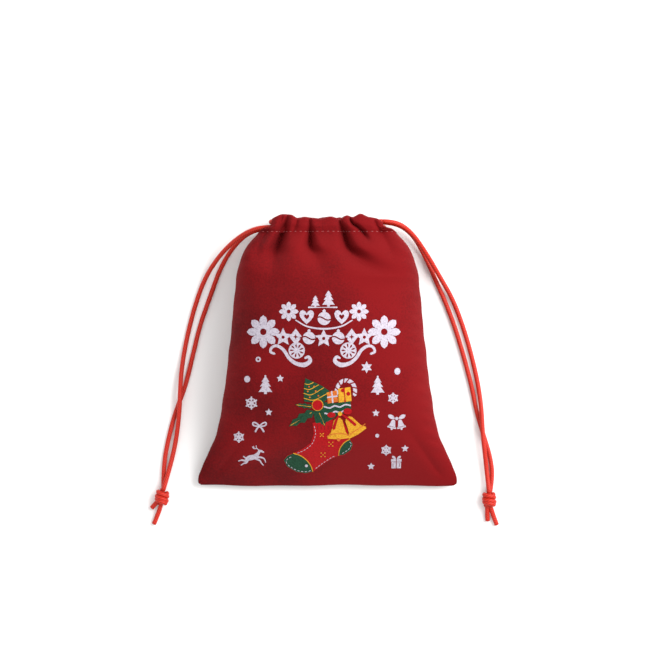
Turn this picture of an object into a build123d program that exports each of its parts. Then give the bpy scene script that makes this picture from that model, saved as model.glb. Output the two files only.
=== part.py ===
from build123d import *
import math
import os

# Drawstring gift sack of velvet, filled out and lying on its back on a flat surface, with its mouth
# drawn in and its two drawstrings lying at its sides. Frame: +X to the right, +Y from the bottom seam
# to the mouth, +Z up. The origin is under the middle of the sack, on the surface. Millimetres.

# ---- driving dimensions -------------------------------------------------------------------------
seam_width = 160.0  # across the bottom seam, the full width that the panels were cut to
sack_length = 168.0  # bottom seam to the drawn-in mouth
sack_depth = 64.0  # crown of the filled front above the surface
cloth = 1.1  # velvet with its pile
seam_allowance = 6.0  # cloth turned in along the side and bottom seams
side_flat = 1.2  # height of the upright strip at the side seams

neck_half_width = 38.0  # gathered cloth at the mouth, before the side notches are cut
neck_height = 20.0  # middle of the mouth above the surface
mouth_gap = 14.0  # open gap between the front and the back casing
notch_half_width = 33.5  # the casings end here, at the side notches that the cords come out of
casing_half_length = 22.0  # straight part of each tunnel, set back inside the notches

cord_diameter = 2.8
cord_clearance = 0.7  # between a cord and the cloth on each side of it
lane_gap = 0.6  # between the two cords in a tunnel, and between each cord and the fold beside it
fold_puff = 3.0  # room that the gathered fold keeps above the upper cord
cord_slack = 8.0  # how far each drawstring slides before its far bight meets the casings
bight_radius = 4.5  # corners of the bight where a cord turns back into the other casing

film = 0.3  # transfer print on the front panel
thread = 0.35  # overlock thread round the seam allowances
overlock_width = 3.0
stitch_length = 1.6
stitch_pitch = 4.0
stitch_thickness = 0.5

knot_width = 8.8
knot_length = 11.0

# ---- sizes that follow --------------------------------------------------------------------------
cord_radius = cord_diameter / 2
casing_height = 2 * cord_diameter + 3 * lane_gap + 2 * cloth + fold_puff
tunnel_depth = cord_diameter + 2 * cord_clearance
neck_depth = mouth_gap + 2 * (cloth + tunnel_depth + cloth)
half_length = sack_length / 2
casing_foot = half_length - casing_height
lower_lane = casing_foot + cloth + lane_gap + cord_radius
upper_lane = lower_lane + cord_diameter + lane_gap
tunnel_floor = mouth_gap / 2 + cloth
lane_offset = tunnel_floor + tunnel_depth / 2
front_lane = neck_height + lane_offset
back_lane = neck_height - lane_offset
beyond = 400.0  # reach of a cutting shape, past the whole sack

# Cross-sections of the filled sack from the bottom seam to the shoulder. Place along the length,
# half width, then underside, side seam and crown as shares of the depth, and the level share of the
# crown and underside.
body_shares = (
    (0.000, 1.000, 0.090, 0.125, 0.160, 0.90),
    (0.072, 0.965, 0.035, 0.180, 0.350, 0.60),
    (0.180, 0.857, -0.020, 0.280, 0.640, 0.22),
    (0.360, 0.792, -0.025, 0.390, 0.900, 0.15),
    (0.580, 0.737, -0.025, 0.440, 1.000, 0.15),
    (0.755, 0.706, -0.010, 0.420, 0.900, 0.20),
    (0.855, 0.655, 0.045, 0.372, 0.720, 0.38),
)


def profile_rows():
    """Each cross-section as place along Y, half width, underside, side seam, crown, level share."""
    rows = []
    for along, half, low, seam, top, level in body_shares:
        place = along * sack_length - half_length
        heights = (low * sack_depth, seam * sack_depth, top * sack_depth)
        rows.append((place, half * seam_width / 2, *heights, level))
    neck_low = neck_height - neck_depth / 2
    neck_top = neck_height + neck_depth / 2
    rows.append((casing_foot - 1, neck_half_width, neck_low, neck_height, neck_top, 0.92))
    return rows


def section(row, inset):
    """Closed outline of one cross-section: level top and bottom, quarter ellipses, short upright sides."""
    place, half, low, seam, top, level = row
    half -= inset
    low += inset
    top -= inset
    flat = level * half
    upper = seam + side_flat / 2
    lower = seam - side_flat / 2
    round_off = 0.5523  # makes a cubic curve follow a quarter ellipse

    def quarter(side, start_z, end_z):
        reach = (half - flat) * round_off
        rise = (end_z - start_z) * round_off
        return Bezier(
            (side * half, place, start_z),
            (side * half, place, start_z + rise),
            (side * (flat + reach), place, end_z),
            (side * flat, place, end_z),
        )

    edges = [
        Line((-flat, place, top), (flat, place, top)),
        quarter(1, upper, top),
        Line((half, place, upper), (half, place, lower)),
        quarter(1, lower, low),
        Line((flat, place, low), (-flat, place, low)),
        quarter(-1, lower, low),
        Line((-half, place, lower), (-half, place, upper)),
        quarter(-1, upper, top),
    ]
    return Wire(edges)


def skin(inset):
    """Solid of the filled sack, its surface set in from the cloth's outside, with a level underside."""
    rows = profile_rows()
    if inset > 0:
        foot = rows[0]
        rows[0] = (foot[0] + 2 * inset, foot[1], *foot[2:])
    sections = [section(row, inset) for row in rows]
    neck_length = half_length - rows[-1][0] + 4 * max(inset, 0)
    neck = extrude(Face(sections[-1]), amount=neck_length, dir=(0, 1, 0))
    solid = Solid.make_loft(sections) + neck
    level = max(inset, 0)
    ground = Pos(0, 0, level - beyond / 2) * Box(2 * beyond, 2 * beyond, beyond)
    return solid - ground


def above_seam(shift):
    """Everything above the side seams' line, which rises from the bottom seam and dips to the neck."""
    rows = profile_rows()
    ends = ((rows[0][0] - 20, rows[0][3] + shift), (rows[-1][0] + 30, rows[-1][3] + shift))
    points = [ends[0]] + [(row[0], row[3] + shift) for row in rows] + [ends[1]]
    line = Spline(*points)
    frame_line = Polyline(ends[1], (ends[1][0], beyond), (ends[0][0], beyond), ends[0])
    face = make_face([line, frame_line])
    return extrude(Plane.YZ * face, amount=beyond / 2, both=True)


def plan_inside(inset):
    """Upright block whose plan is the sack's outline, set in along both sides."""
    rows = profile_rows()
    right = [(row[1] - inset, row[0]) for row in rows]
    left = [(-x, y) for x, y in reversed(right)]
    edges = [
        Spline(*right),
        Line(right[-1], left[0]),
        Spline(*left),
        Line(left[-1], right[0]),
    ]
    return extrude(make_face(edges), amount=beyond)


def slab(start, end):
    """Everything between two places along the sack's length."""
    return Pos(0, (start + end) / 2, 0) * Box(2 * beyond, end - start, 2 * beyond)


def write(shape, node):
    export_step(shape, f"parts/{node}.step")


# ---- panels, casings and seams ------------------------------------------------------------------
def make_panels(outside, inside):
    """Front and back panel: the sack's wall, cut apart along the side seams and notched at the neck."""
    wall = outside - inside
    notch_length = half_length - casing_foot
    for side in (-1, 1):
        centre = (side * (notch_half_width + beyond / 2), casing_foot + notch_length, neck_height)
        wall -= Pos(*centre) * Box(beyond, 2 * notch_length, beyond)
    upper = above_seam(0)
    write(wall & upper, "front_panel")
    write(wall - upper, "back_panel")


def make_casing(inside, side, node):
    """Turned-in hem of one panel: it closes a straight tunnel for the drawstrings against the panel."""
    middle = (casing_foot + half_length) / 2
    reach = beyond / 2
    hem_face = neck_height + side * mouth_gap / 2
    length = 2 * casing_half_length
    block = Pos(0, middle, hem_face + side * reach / 2) * Box(length, casing_height, reach)
    tunnel_face = neck_height + side * tunnel_floor
    tunnel_box = Box(2 * length, casing_height - 2 * cloth, reach)
    tunnel = Pos(0, middle, tunnel_face + side * reach / 2) * tunnel_box
    write((inside & block) - tunnel, node)


def make_casing_stitches(side, node):
    """Row of stitches that holds the hem's lower edge, seen from outside the panel."""
    surface = neck_height + side * neck_depth / 2
    count = 2 * int(casing_half_length / stitch_pitch) + 1
    stitches = []
    for number in range(count):
        x = (number - (count - 1) / 2) * stitch_pitch
        bar = Box(stitch_length, stitch_thickness, 2 * stitch_thickness)
        stitches.append(Pos(x, casing_foot + cloth / 2, surface) * bar)
    write(Compound(children=stitches), node)


def make_seams(inside):
    """Cloth turned in along the bottom and side seams, and the overlock thread round its edge."""
    foot = -half_length
    turned = foot + 2 * cloth + seam_allowance
    seam_end = casing_foot - 6
    band = above_seam(-cloth) - above_seam(cloth)
    thread_band = above_seam(-cloth - thread) - above_seam(cloth + thread)
    edge = cloth + seam_allowance
    left_half = Pos(-beyond / 2, 0, 0) * Box(beyond, 2 * beyond, 2 * beyond)

    allowance = inside & band
    wrap = inside & thread_band
    bottom = allowance & slab(foot, turned)
    write(bottom, "bottom_seam_allowance")
    bottom_wrap = wrap & slab(turned - overlock_width, turned + thread)
    bottom_wrap &= plan_inside(edge + thread)
    write(bottom_wrap - bottom, "bottom_seam_overlock")

    sides = (allowance & slab(turned, seam_end)) - plan_inside(edge)
    wraps = wrap & slab(turned + thread, seam_end) & plan_inside(edge - overlock_width)
    wraps = wraps - plan_inside(edge + thread) - sides
    write(sides & left_half, "left_seam_allowance")
    write(sides - left_half, "right_seam_allowance")
    write(wraps & left_half, "left_seam_overlock")
    write(wraps - left_half, "right_seam_overlock")


# ---- drawstrings --------------------------------------------------------------------------------
def arc_radii(points):
    """Largest arc that each corner's two runs leave room for, using 0.45 of the shorter run."""
    corners = [Vector(point) for point in points]
    radii = []
    for before, here, after in zip(corners, corners[1:], corners[2:]):
        turn = math.radians((here - before).get_angle(after - here))
        shorter = min((here - before).length, (after - here).length)
        radii.append(0.45 * shorter / math.tan(turn / 2))
    return radii


def make_tube(path, node):
    """Round cord along a path, with its volume compared with its section times its length."""
    start = Plane(origin=path @ 0, z_dir=path % 0)
    tube = sweep(start * Circle(cord_radius), path=path)
    expected = math.pi * cord_radius**2 * path.length
    print(f"{node}: length {path.length:.1f}, volume {tube.volume / expected:.4f} of section x length")
    write(tube, node)


def make_casing_run(side, lane, node):
    """Taut stretch of one drawstring: in through the front casing, round the far side, back."""
    exit_x = side * notch_half_width
    far_x = -side * (casing_half_length + cord_slack + bight_radius)
    points = (
        (exit_x, lane, front_lane),
        (far_x, lane, front_lane),
        (far_x, lane, back_lane),
        (exit_x, lane, back_lane),
    )
    path = FilletPolyline(*points, radius=bight_radius)
    make_tube(path, node)


def make_strand(points, node):
    """Free stretch of a drawstring, from the notch down to the surface and along it to the knot."""
    radii = arc_radii(points)
    print(f"{node}: arc radii", [round(radius, 1) for radius in radii])
    make_tube(FilletPolyline(*points, radius=radii), node)


def make_knot(centre, tails, node):
    """Overhand knot that joins both ends of a drawstring, with the cut ends standing out of it."""
    x, y = centre
    core = Rot(90, 0, 0) * Cylinder(knot_width / 2, knot_length)
    core = fillet(core.edges().filter_by(GeomType.CIRCLE), 0.42 * knot_width)
    body = Pos(x, y, knot_width / 2) * core
    ends = []
    for tail in tails:
        path = FilletPolyline(*tail, radius=arc_radii(tail))
        start = Plane(origin=path @ 0, z_dir=path % 0)
        ends.append(sweep(start * Circle(cord_radius), path=path))
    write(body + ends, node)


left_front_strand = (
    (-notch_half_width, lower_lane, front_lane),
    (-42.0, lower_lane, front_lane),
    (-53.5, 69.5, 20.5),
    (-65.5, 59.0, 9.5),
    (-75.5, 44.5, 2.2),
    (-82.0, 26.5, 1.5),
    (-87.0, 6.5, 1.5),
    (-89.8, -10.0, 2.8),
    (-90.8, -23.0, 5.8),
    (-91.2, -38.0, 5.8),
    (-93.2, -55.0, 2.2),
    (-96.9, -72.0, 3.4),
    (-101.3, -87.0, 5.8),
)
left_back_strand = (
    (-notch_half_width, lower_lane, back_lane),
    (-42.0, lower_lane, back_lane),
    (-54.5, 68.0, 4.5),
    (-65.5, 52.0, 1.6),
    (-73.0, 31.0, 1.4),
    (-79.0, 14.0, 1.4),
    (-83.5, -5.5, 1.4),
    (-88.0, -24.0, 1.4),
    (-94.0, -39.0, 1.4),
    (-98.2, -55.0, 1.4),
    (-101.3, -71.5, 1.4),
    (-101.3, -87.0, 2.4),
)
right_front_strand = (
    (notch_half_width, upper_lane, front_lane),
    (42.0, upper_lane, front_lane),
    (51.5, 71.5, 22.5),
    (61.0, 58.5, 12.0),
    (69.5, 44.0, 5.0),
    (77.5, 30.5, 1.7),
    (84.0, 13.0, 1.4),
    (89.2, -5.0, 1.4),
    (93.2, -23.0, 1.5),
    (95.0, -38.0, 4.6),
    (95.4, -49.0, 6.0),
    (96.6, -61.0, 5.4),
    (98.2, -75.0, 2.8),
    (99.6, -88.5, 5.8),
)
right_back_strand = (
    (notch_half_width, upper_lane, back_lane),
    (42.0, upper_lane, back_lane),
    (53.0, 70.5, 5.2),
    (61.5, 54.5, 1.8),
    (67.8, 40.0, 1.4),
    (73.0, 28.5, 1.4),
    (79.0, 12.5, 1.4),
    (84.5, -6.0, 1.4),
    (89.2, -24.0, 1.4),
    (92.3, -40.0, 1.4),
    (96.6, -54.0, 1.4),
    (100.6, -67.0, 1.4),
    (102.0, -79.0, 1.4),
    (100.2, -89.0, 2.4),
)
left_knot_centre = (-102.3, -91.5)
right_knot_centre = (99.6, -92.7)
left_tails = (
    ((-102.6, -93.0, 4.0), (-103.6, -99.5, 2.2), (-107.2, -108.0, 1.5)),
    ((-103.4, -91.0, 4.4), (-106.8, -95.0, 2.4), (-108.8, -98.0, 1.6)),
)
right_tails = (
    ((99.9, -94.0, 4.0), (101.4, -100.5, 2.2), (104.5, -108.5, 1.5)),
    ((98.6, -92.0, 4.6), (98.2, -99.5, 2.4), (98.8, -106.0, 1.5)),
)

# ---- prints -------------------------------------------------------------------------------------
ink_line = 1.0  # drawn lines of the snowflakes and scrolls

star_places = ((-28, -18, 2.2), (-35.5, -38, 2.2), (29.5, -38, 2.2), (47.3, -60.5, 2.4), (27, -71.5, 2.4))
dot_places = ((-48.5, -18, 2.0), (42.5, -13.2, 2.1), (30, -52.5, 1.2), (-41.7, -6, 1.6))
flake_places = (
    (39.2, -29.0, 3.2),
    (-46, -32.5, 4.0),
    (-54, -53.5, 3.5),
    (35.8, -61, 3.3),
    (23.8, -10.5, 3.6),
    (-19.5, 0.6, 4.6),
    (12.7, 0.6, 4.6),
)
tree_places = ((-37.4, -21.6, 11.5), (30.3, -21.6, 11.5), (-7.1, 29.8, 8.0), (0.9, 31.2, 10.5))


def fir_tree(x, y, height):
    """Fir tree of three tiers on a short trunk."""
    tree = Pos(x, y - height * 0.42) * Rectangle(height * 0.14, height * 0.16)
    for number, width in enumerate((0.68, 0.52, 0.36)):
        foot = y + height * (0.26 * number - 0.36)
        half = width * height / 2
        tier = Polygon((x - half, foot), (x + half, foot), (x, foot + height * 0.36), align=None)
        tree += tier
    return tree


def snow_crystal(x, y, size):
    """Six-armed crystal of crossed bars with a hub."""
    crystal = Circle(size * 0.28)
    for turn in (0, 60, 120):
        crystal += Rot(0, 0, turn) * Rectangle(2 * size, ink_line)
    return Pos(x, y) * crystal


def five_star(x, y, size):
    """Five-pointed star."""
    corners = []
    for number in range(10):
        reach = size if number % 2 == 0 else size * 0.45
        angle = math.radians(90 + 36 * number)
        corners.append((x + reach * math.cos(angle), y + reach * math.sin(angle)))
    return Polygon(*corners, align=None)


def ornament_row(x, y, pitch, count, size):
    """Row of lozenges and round baubles in turn, on a thin cord."""
    row = Pos(x, y) * Rectangle(pitch * (count - 1), ink_line)
    for number in range(count):
        place = x + (number - (count - 1) / 2) * pitch
        if number % 2 == 0:
            row += Pos(place, y) * Rot(0, 0, 45) * Rectangle(size, size)
        else:
            row += Pos(place, y) * Circle(size * 0.62)
    return row


def scroll(side):
    """Runner that curls up at its outer end, under the ornament rows."""
    x = side * 23.0
    bar = Pos(x, -6.0) * Rectangle(20.0, ink_line * 1.6)
    curl = Pos(x + side * 10.0, -3.0) * (Circle(3.8) - Circle(2.2))
    return bar + curl


def stocking_bells():
    """Pair of bells that hangs over the stocking's leg."""
    return small_bells(18.0, -41.0, 12.0)


def stocking_leg():
    """Leg and foot of the stocking, toe to the left, left open under the bells."""
    sole = ((15, -52), (-10, -69), (-26, -69), (-27, -60), (-8, -50))
    leg = fillet(Polygon((-8, -34), (15, -34), *sole, align=None).vertices(), 2.5)
    return leg - stocking_bells()


def stocking_cuff():
    """Turned-over cuff of the stocking."""
    return Pos(3.5, -28.5) * RectangleRounded(27.0, 8.0, 2.0)


def stocking_filling():
    """What stands in the stocking: a small tree, a hooked cane and two boxes."""
    shape = fir_tree(-9.5, -12.5, 16.0)
    shape += Pos(1.5, -19.0) * Rectangle(8.0, 9.0)
    shape += Pos(10.5, -18.5) * Rectangle(8.0, 10.0)
    shape += Pos(11.5, -12.0) * (Circle(3.6) - Circle(2.2))
    return shape


def small_bells(x, y, size):
    """Pair of bells side by side under a bow."""
    shape = Pos(x, y + size * 0.45) * Rectangle(size * 0.9, size * 0.3)
    for side in (-1, 1):
        bell = Pos(x + side * size * 0.36, y - size * 0.1)
        shape += bell * Circle(size * 0.3)
        shape += Pos(x + side * size * 0.36, y - size * 0.3) * Rectangle(size * 0.8, size * 0.2)
    return shape


def bow(x, y, size):
    """Flat bow of two loops and a knot."""
    shape = Pos(x, y) * Circle(size * 0.2)
    for side in (-1, 1):
        loop = ((x, y), (x + side * size, y + size * 0.55), (x + side * size, y - size * 0.45))
        shape += Polygon(*loop, align=None)
    return shape


def leaping_deer(x, y, size):
    """Leaping deer in plain outline, head to the right."""
    shape = Pos(x, y) * Rot(0, 0, 18) * Ellipse(size * 0.5, size * 0.2)
    shape += Pos(x + size * 0.55, y + size * 0.32) * Rot(0, 0, 60) * Rectangle(size * 0.5, size * 0.18)
    shape += Pos(x + size * 0.75, y + size * 0.5) * Ellipse(size * 0.22, size * 0.11)
    shape += Pos(x + size * 0.55, y - size * 0.05) * Rot(0, 0, 12) * Rectangle(size * 0.6, size * 0.11)
    shape += Pos(x - size * 0.6, y - size * 0.38) * Rot(0, 0, 42) * Rectangle(size * 0.75, size * 0.11)
    return shape


def gift_box(x, y, size):
    """Box with a crossed ribbon, the ribbon left open."""
    shape = Pos(x, y) * Rectangle(size, size)
    shape -= Pos(x, y) * Rectangle(size * 0.16, size)
    shape -= Pos(x, y + size * 0.12) * Rectangle(size, size * 0.14)
    return shape


def together(shapes):
    """One sketch from several motifs."""
    whole = shapes[0]
    for shape in shapes[1:]:
        whole += shape
    return whole


def make_prints(outside):
    """Film of each motif, laid on the front panel."""
    layer = (skin(-film) - outside) & above_seam(side_flat)
    motifs = {
        "title_upper_row_print": ornament_row(0.2, 21.5, 10.5, 5, 6.2),
        "title_lower_row_print": ornament_row(-0.8, 10.0, 10.6, 9, 7.2),
        "scroll_prints": together([scroll(-1), scroll(1)]),
        "fir_tree_prints": together([fir_tree(*place) for place in tree_places]),
        "snow_crystal_prints": together([snow_crystal(*place) for place in flake_places]),
        "star_prints": together([five_star(*place) for place in star_places]),
        "dot_prints": together([Pos(x, y) * Circle(radius) for x, y, radius in dot_places]),
        "bow_print": bow(-41.0, -47.0, 4.6),
        "bells_print": small_bells(41.7, -44.0, 9.5),
        "deer_print": leaping_deer(-45.5, -66.0, 10.0),
        "gift_box_print": gift_box(41.7, -69.0, 7.0),
        "stocking_leg_print": stocking_leg(),
        "stocking_cuff_print": stocking_cuff(),
        "stocking_filling_print": stocking_filling(),
        "stocking_bells_print": stocking_bells(),
    }
    for node, motif in motifs.items():
        write(layer & extrude(motif, amount=beyond / 2, dir=(0, 0, 1)), node)


def main():
    os.makedirs("parts", exist_ok=True)
    outside = skin(0)
    inside = skin(cloth)
    make_panels(outside, inside)
    make_casing(inside, 1, "front_casing")
    make_casing(inside, -1, "back_casing")
    make_casing_stitches(1, "front_casing_stitches")
    make_casing_stitches(-1, "back_casing_stitches")
    make_seams(inside)
    make_prints(outside)
    make_casing_run(-1, lower_lane, "left_cord_in_casings")
    make_casing_run(1, upper_lane, "right_cord_in_casings")
    make_strand(left_front_strand, "left_cord_front_strand")
    make_strand(left_back_strand, "left_cord_back_strand")
    make_strand(right_front_strand, "right_cord_front_strand")
    make_strand(right_back_strand, "right_cord_back_strand")
    make_knot(left_knot_centre, left_tails, "left_knot")
    make_knot(right_knot_centre, right_tails, "right_knot")


main()
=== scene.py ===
import math

import bmesh
import bpy
import numpy as np
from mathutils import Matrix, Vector
from mathutils.bvhtree import BVHTree
from mathutils.geometry import delaunay_2d_cdt


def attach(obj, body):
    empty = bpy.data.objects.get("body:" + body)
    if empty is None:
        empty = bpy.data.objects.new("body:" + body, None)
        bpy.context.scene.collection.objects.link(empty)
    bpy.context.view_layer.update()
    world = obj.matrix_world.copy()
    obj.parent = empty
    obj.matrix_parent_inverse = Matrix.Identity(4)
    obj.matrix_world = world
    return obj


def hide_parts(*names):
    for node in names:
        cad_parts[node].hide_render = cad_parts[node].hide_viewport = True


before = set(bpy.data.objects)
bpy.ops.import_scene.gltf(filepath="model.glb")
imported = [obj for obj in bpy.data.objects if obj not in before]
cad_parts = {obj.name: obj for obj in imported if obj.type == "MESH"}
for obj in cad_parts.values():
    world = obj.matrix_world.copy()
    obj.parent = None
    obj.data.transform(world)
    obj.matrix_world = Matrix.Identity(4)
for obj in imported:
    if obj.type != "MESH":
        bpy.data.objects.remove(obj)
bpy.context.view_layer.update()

# ---- camera -------------------------------------------------------------------------------------
# The sack lies on its back, and the camera looks straight down on it from well above, through a
# long lens, so that the domed front and the cords barely lean outwards.
camera_height = 2.2
camera_width = 0.414  # how much of the floor it takes in
sight_x, sight_y = 0.0046, 0.0087
camera_data = bpy.data.cameras.new("camera")
camera_data.lens = camera_data.sensor_width * camera_height / camera_width
camera_data.clip_end = 10.0
camera = bpy.data.objects.new("camera", camera_data)
camera.location = (sight_x, sight_y, camera_height)
bpy.context.scene.collection.objects.link(camera)
bpy.context.scene.camera = camera
bpy.context.scene.view_settings.view_transform = "Standard"


# ---- drawstrings, free ends ---------------------------------------------------------------------
# Satin cord, 2.8 mm thick: a loose core in a fine tubular braid of bright polyester. Each
# drawstring leaves the side of both casings, drops to the table and runs down beside the sack.
def linear(code):
    """Linear colour from an sRGB hex code."""
    channels = [int(code[place : place + 2], 16) / 255 for place in (1, 3, 5)]
    return [*(c / 12.92 if c <= 0.04045 else ((c + 0.055) / 1.055) ** 2.4 for c in channels), 1.0]


def add_node(tree, kind, settings=None, inputs=None):
    """A node with its settings, and each input set to a value or linked from a socket."""
    node = tree.nodes.new(kind)
    for name, value in (settings or {}).items():
        setattr(node, name, value)
    for name, value in (inputs or {}).items():
        if isinstance(value, bpy.types.NodeSocket):
            tree.links.new(value, node.inputs[name])
        else:
            node.inputs[name].default_value = value
    return node


def new_material(name):
    """A material with nodes: its tree and its shader."""
    material = bpy.data.materials.new(name)
    material.use_nodes = True
    return material, material.node_tree, material.node_tree.nodes["Principled BSDF"]


# Braided satin polyester with a soft shine: threads at a slant, painted bright on their tops and
# darker as painted shade where they dive under each other. Four bands of thread wind round the
# cord,
# 1.5 mm apart along it, about as coarse as the real braid. The map counts turns round the cord and
# millimetres along it.
satin, tree, shader = new_material("braided_satin_polyester")
braid_uv = add_node(tree, "ShaderNodeUVMap", {"uv_map": "along_cord"})
slant = add_node(
    tree, "ShaderNodeMapping", None, {"Vector": braid_uv.outputs[0], "Scale": (6.0, 1.0, 1.0)},
)
braid_ribs = add_node(
    tree, "ShaderNodeTexWave", {"bands_direction": "DIAGONAL"},
    {"Vector": slant.outputs[0], "Scale": 0.42, "Distortion": 0.4, "Detail": 1.0},
)
threads = add_node(
    tree, "ShaderNodeTexNoise", None,
    {"Vector": slant.outputs[0], "Scale": 2.2, "Detail": 3.0, "Roughness": 0.6},
)
braid_relief_and_painted_shade = add_node(
    tree, "ShaderNodeMath", {"operation": "MULTIPLY_ADD"},
    {0: braid_ribs.outputs["Fac"], 1: 0.6, 2: threads.outputs["Fac"]},
)
# Painted highlight and shade: the braid pattern turns the colour from a shaded red in the dips to a
# lit red on the thread tops.
shades = add_node(tree, "ShaderNodeValToRGB", None, {"Fac": braid_relief_and_painted_shade.outputs[0]})
shades.color_ramp.elements[0].position = 0.25
shades.color_ramp.elements[0].color = linear("#7C1309")
shades.color_ramp.elements[1].position = 0.95
shades.color_ramp.elements[1].color = linear("#C42510")
relief = add_node(
    tree, "ShaderNodeBump", None,
    {"Height": braid_relief_and_painted_shade.outputs[0], "Strength": 0.35, "Distance": 0.0002},
)
tree.links.new(shades.outputs[0], shader.inputs["Base Color"])
tree.links.new(relief.outputs[0], shader.inputs["Normal"])
shader.inputs["Roughness"].default_value = 0.5
shader.inputs["Specular IOR Level"].default_value = 0.3
shader.inputs["Sheen Weight"].default_value = 0.15
shader.inputs["Sheen Roughness"].default_value = 0.35
shader.inputs["Sheen Tint"].default_value = linear("#FF5A30")

cord_diameter = 0.0028
cord_sides = 14


def smooth_line(points):
    """Points along the smooth curve that has the given points as its controls."""
    data = bpy.data.curves.new("route", "CURVE")
    data.dimensions = "3D"
    data.resolution_u = 10
    spline = data.splines.new("NURBS")
    spline.points.add(len(points) - 1)
    for control, point in zip(spline.points, points):
        control.co = (*point, 1.0)
    spline.order_u = 3
    spline.use_endpoint_u = True
    holder = bpy.data.objects.new("route", data)
    bpy.context.scene.collection.objects.link(holder)
    bpy.context.view_layer.update()
    curved = holder.evaluated_get(bpy.context.evaluated_depsgraph_get())
    line = bpy.data.meshes.new_from_object(curved)
    found = np.array([vertex.co for vertex in line.vertices])
    bpy.data.objects.remove(holder)
    bpy.data.meshes.remove(line)
    return found


def cord_tube(name, path, radius=cord_diameter / 2):
    """Round cord along a path, closed at both ends, with a UV map that runs along it."""
    steps = np.gradient(path, axis=0)
    steps /= np.linalg.norm(steps, axis=1)[:, None]
    side = np.cross(steps[0], (0.0, 0.0, 1.0))
    if np.linalg.norm(side) < 1e-3:
        side = np.cross(steps[0], (0.0, 1.0, 0.0))
    rings = []
    for here, step in zip(path, steps):
        side = side - step * np.dot(side, step)
        side /= np.linalg.norm(side)
        up = np.cross(step, side)
        turns = np.linspace(0, 2 * math.pi, cord_sides, endpoint=False)
        rings.append(here + radius * (np.cos(turns)[:, None] * side + np.sin(turns)[:, None] * up))
    count = len(path)
    ends = [path[0] - steps[0] * radius * 0.3, path[-1] + steps[-1] * radius * 0.3]
    points = np.concatenate([*rings, ends])
    faces = []
    for ring in range(count - 1):
        for place in range(cord_sides):
            after = (place + 1) % cord_sides
            low, high = ring * cord_sides, (ring + 1) * cord_sides
            faces.append((low + place, low + after, high + after, high + place))
    for place in range(cord_sides):
        after = (place + 1) % cord_sides
        last = (count - 1) * cord_sides
        faces.append((after, place, count * cord_sides))
        faces.append((last + place, last + after, count * cord_sides + 1))
    mesh = bpy.data.meshes.new(name)
    mesh.from_pydata(points.tolist(), [], faces)
    stretches = np.linalg.norm(np.diff(path, axis=0), axis=1)
    lengths = np.concatenate([[0.0], np.cumsum(stretches)]) * 1000
    uv = mesh.uv_layers.new(name="along_cord")
    for face in mesh.polygons:
        corners = [mesh.loops[loop].vertex_index for loop in face.loop_indices]
        around = [(index % cord_sides) / cord_sides for index in corners]
        wraps = max(around) - min(around) > 0.5
        for loop, index, turn in zip(face.loop_indices, corners, around):
            ring = min(index // cord_sides, count - 1)
            uv.data[loop].uv = (turn + (1.0 if wraps and turn < 0.5 else 0.0), lengths[ring])
    mesh.polygons.foreach_set("use_smooth", [True] * len(mesh.polygons))
    mesh.materials.append(satin)
    piece = bpy.data.objects.new(name, mesh)
    bpy.context.scene.collection.objects.link(piece)
    return piece


notch = 0.0335
lower_lane, upper_lane = 0.0745, 0.0779
front_lane, back_lane = 0.0302, 0.0098
strands = {
    "left_cord_front_strand": (
        (-notch, lower_lane, front_lane),
        (-0.0420, lower_lane, front_lane),
        (-0.0535, 0.0695, 0.0205),
        (-0.0655, 0.0590, 0.0095),
        (-0.0755, 0.0445, 0.0022),
        (-0.0820, 0.0265, 0.0015),
        (-0.0870, 0.0065, 0.0015),
        (-0.0898, -0.0100, 0.0028),
        (-0.0908, -0.0230, 0.0058),
        (-0.0912, -0.0380, 0.0058),
        (-0.0932, -0.0550, 0.0022),
        (-0.0969, -0.0720, 0.0034),
        (-0.1013, -0.0870, 0.0058),
    ),
    "left_cord_back_strand": (
        (-notch, lower_lane, back_lane),
        (-0.0420, lower_lane, back_lane),
        (-0.0545, 0.0680, 0.0045),
        (-0.0655, 0.0520, 0.0016),
        (-0.0730, 0.0310, 0.0014),
        (-0.0790, 0.0140, 0.0014),
        (-0.0835, -0.0055, 0.0014),
        (-0.0880, -0.0240, 0.0014),
        (-0.0940, -0.0390, 0.0014),
        (-0.0982, -0.0550, 0.0014),
        (-0.1013, -0.0715, 0.0014),
        (-0.1013, -0.0870, 0.0024),
    ),
    "right_cord_front_strand": (
        (notch, upper_lane, front_lane),
        (0.0420, upper_lane, front_lane),
        (0.0515, 0.0715, 0.0225),
        (0.0610, 0.0585, 0.0120),
        (0.0695, 0.0440, 0.0050),
        (0.0775, 0.0305, 0.0017),
        (0.0840, 0.0130, 0.0014),
        (0.0892, -0.0050, 0.0014),
        (0.0932, -0.0230, 0.0015),
        (0.0950, -0.0380, 0.0046),
        (0.0954, -0.0490, 0.0060),
        (0.0966, -0.0610, 0.0054),
        (0.0982, -0.0750, 0.0028),
        (0.0996, -0.0885, 0.0058),
    ),
    "right_cord_back_strand": (
        (notch, upper_lane, back_lane),
        (0.0420, upper_lane, back_lane),
        (0.0530, 0.0705, 0.0052),
        (0.0615, 0.0545, 0.0018),
        (0.0678, 0.0400, 0.0014),
        (0.0730, 0.0285, 0.0014),
        (0.0790, 0.0125, 0.0014),
        (0.0845, -0.0060, 0.0014),
        (0.0892, -0.0240, 0.0014),
        (0.0923, -0.0400, 0.0014),
        (0.0966, -0.0540, 0.0014),
        (0.1006, -0.0670, 0.0014),
        (0.1020, -0.0790, 0.0014),
        (0.1002, -0.0890, 0.0024),
    ),
}


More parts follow.
